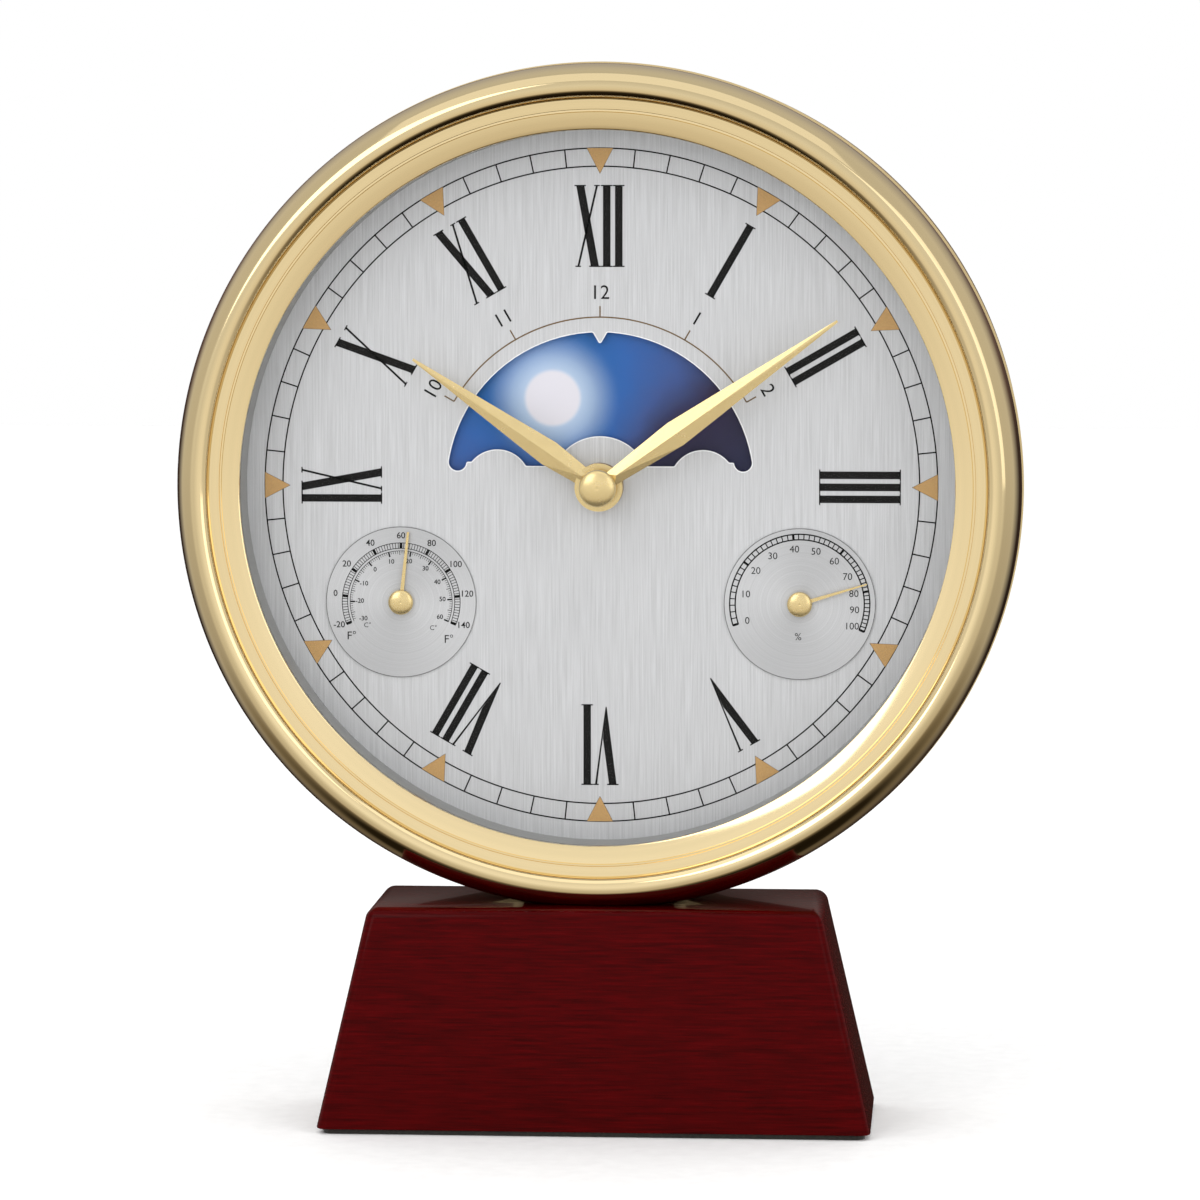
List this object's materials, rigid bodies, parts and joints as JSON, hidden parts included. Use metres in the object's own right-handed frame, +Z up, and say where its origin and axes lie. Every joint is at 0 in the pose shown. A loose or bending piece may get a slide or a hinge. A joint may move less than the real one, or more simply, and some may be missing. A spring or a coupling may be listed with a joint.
{
  "type": "moon phase desk clock",
  "caption": "Round desk clock with a sky disc window, thermometer and hygrometer dials, brass bezel and a tapered lacquered wooden foot.",
  "frame": {"origin": "middle of the felt's underside, directly below the hand axis in X", "axes": "+Z up, the dial faces -Y, +X is the dial's right-hand side"},
  "size_m": [0.169, 0.048, 0.2121],
  "materials": {
    "lacquered_wood": "high gloss red-brown lacquer over wood",
    "felt": "dark pressed felt",
    "bolt_steel": "zinc plated",
    "polished_brass": "polished and lacquered",
    "case_brass": "satin lacquered",
    "clear_glass": "clear polished",
    "black_rubber": "matte",
    "ring_black": "matte dark",
    "silvered_dial": "fine vertical brushing with printed marks",
    "turned_plate": "concentric turning with printed scale",
    "instrument_steel": "plain",
    "bimetal": "bare strip",
    "hygro_strip": "coated strip",
    "gilt_hand": "bright gilt, faceted",
    "printed_sky": "printed day and night sky",
    "black_moulding": "fine spark texture",
    "gear_acetal": "moulded",
    "train_brass": "cut",
    "magnet": "sintered",
    "stator_steel": "stamped",
    "copper_wire": "enamelled copper winding",
    "board_green": "solder mask",
    "cell_sleeve": "plain sleeve, no lettering",
    "contact_nickel": "nickel plated"
  },
  "bodies": {
    "clock": {"base_block": "lacquered_wood", "base_felt": "felt", "base_bolts": "bolt_steel", "clamp_plate": "bolt_steel", "case_drum": "case_brass", "bezel": "polished_brass", "lens": "clear_glass", "lens_gasket": "black_rubber", "spacer_ring": "ring_black", "dial_plate": "silvered_dial", "thermo_plate": "turned_plate", "hygro_plate": "turned_plate", "thermo_cup": "instrument_steel", "hygro_cup": "instrument_steel", "thermo_coil": "bimetal", "hygro_coil": "hygro_strip", "fixing_nut": "polished_brass", "fixing_washer": "instrument_steel", "movement_front": "black_moulding", "movement_case": "black_moulding", "stator": "stator_steel", "coil_bobbin": "gear_acetal", "coil_winding": "copper_wire", "circuit_board": "board_green", "battery": "cell_sleeve", "battery_contacts": "contact_nickel", "back_cover": "black_moulding", "back_screws": "bolt_steel"},
    "minute_shaft": {"minute_arbor": "train_brass", "minute_hand": "gilt_hand", "hand_cap": "gilt_hand"},
    "hour_pipe": {"hour_wheel": "gear_acetal", "hour_hand": "gilt_hand"},
    "sky": {"sky_disc": "printed_sky"},
    "sky_idler": {"disc_idler": "gear_acetal"},
    "motion_wheel": {"minute_wheel": "gear_acetal", "set_knob": "gear_acetal"},
    "rotor": {"rotor": "magnet"},
    "intermediate": {"intermediate_wheel": "gear_acetal"},
    "seconds": {"seconds_wheel": "gear_acetal"},
    "third": {"third_wheel": "gear_acetal"},
    "centre": {"centre_wheel": "train_brass"},
    "thermometer": {"thermo_pointer": "gilt_hand", "thermo_cap": "gilt_hand"},
    "hygrometer": {"hygro_pointer": "gilt_hand", "hygro_cap": "gilt_hand"},
    "door": {"battery_door": "black_moulding"}
  },
  "joints": [
    {"name": "minute_turn", "type": "hinge", "parent": "clock", "child": "minute_shaft", "pos_m": [0, 0, 0.1276], "axis": [0, 1, 0], "continuous": true},
    {"name": "hour_turn", "type": "hinge", "parent": "clock", "child": "hour_pipe", "pos_m": [0, 0, 0.1276], "axis": [0, 1, 0], "continuous": true},
    {"name": "sky_turn", "type": "hinge", "parent": "clock", "child": "sky", "pos_m": [0, 0, 0.1276], "axis": [0, 1, 0], "continuous": true},
    {"name": "sky_idler_turn", "type": "hinge", "parent": "clock", "child": "sky_idler", "pos_m": [-0.00717, 0, 0.12258], "axis": [0, 1, 0], "continuous": true},
    {"name": "set_knob_turn", "type": "hinge", "parent": "clock", "child": "motion_wheel", "pos_m": [0.00945, 0, 0.12593], "axis": [0, 1, 0], "continuous": true},
    {"name": "rotor_turn", "type": "hinge", "parent": "clock", "child": "rotor", "pos_m": [0.00865, 0, 0.14102], "axis": [0, 1, 0], "continuous": true},
    {"name": "intermediate_turn", "type": "hinge", "parent": "clock", "child": "intermediate", "pos_m": [0.00286, 0, 0.14258], "axis": [0, 1, 0], "continuous": true},
    {"name": "seconds_turn", "type": "hinge", "parent": "clock", "child": "seconds", "pos_m": [-0.00559, 0, 0.14031], "axis": [0, 1, 0], "continuous": true},
    {"name": "third_turn", "type": "hinge", "parent": "clock", "child": "third", "pos_m": [-0.00779, 0, 0.1321], "axis": [0, 1, 0], "continuous": true},
    {"name": "centre_turn", "type": "hinge", "parent": "clock", "child": "centre", "pos_m": [0, 0, 0.1276], "axis": [0, 1, 0], "continuous": true},
    {"name": "thermometer_turn", "type": "hinge", "parent": "clock", "child": "thermometer", "pos_m": [-0.04, 0, 0.1042], "axis": [0, 1, 0], "range_deg": [-118, 109]},
    {"name": "hygrometer_turn", "type": "hinge", "parent": "clock", "child": "hygrometer", "pos_m": [0.04, 0, 0.1042], "axis": [0, 1, 0], "range_deg": [-181, 40]},
    {"name": "battery_door_hinge", "type": "hinge", "parent": "clock", "child": "door", "pos_m": [0, 0.0238, 0.0989], "axis": [-1, 0, 0], "range_deg": [0, 100]}
  ],
  "couplings": [
    {"joint": "hour_turn", "follows": "minute_turn", "ratio": 0.083333},
    {"joint": "sky_turn", "follows": "minute_turn", "ratio": 0.041667},
    {"joint": "sky_idler_turn", "follows": "minute_turn", "ratio": -0.0625},
    {"joint": "set_knob_turn", "follows": "minute_turn", "ratio": -0.33333},
    {"joint": "intermediate_turn", "follows": "rotor_turn", "ratio": -0.2},
    {"joint": "seconds_turn", "follows": "rotor_turn", "ratio": 0.033333},
    {"joint": "third_turn", "follows": "rotor_turn", "ratio": -0.0044444},
    {"joint": "centre_turn", "follows": "rotor_turn", "ratio": 0.00055556}
  ]
}
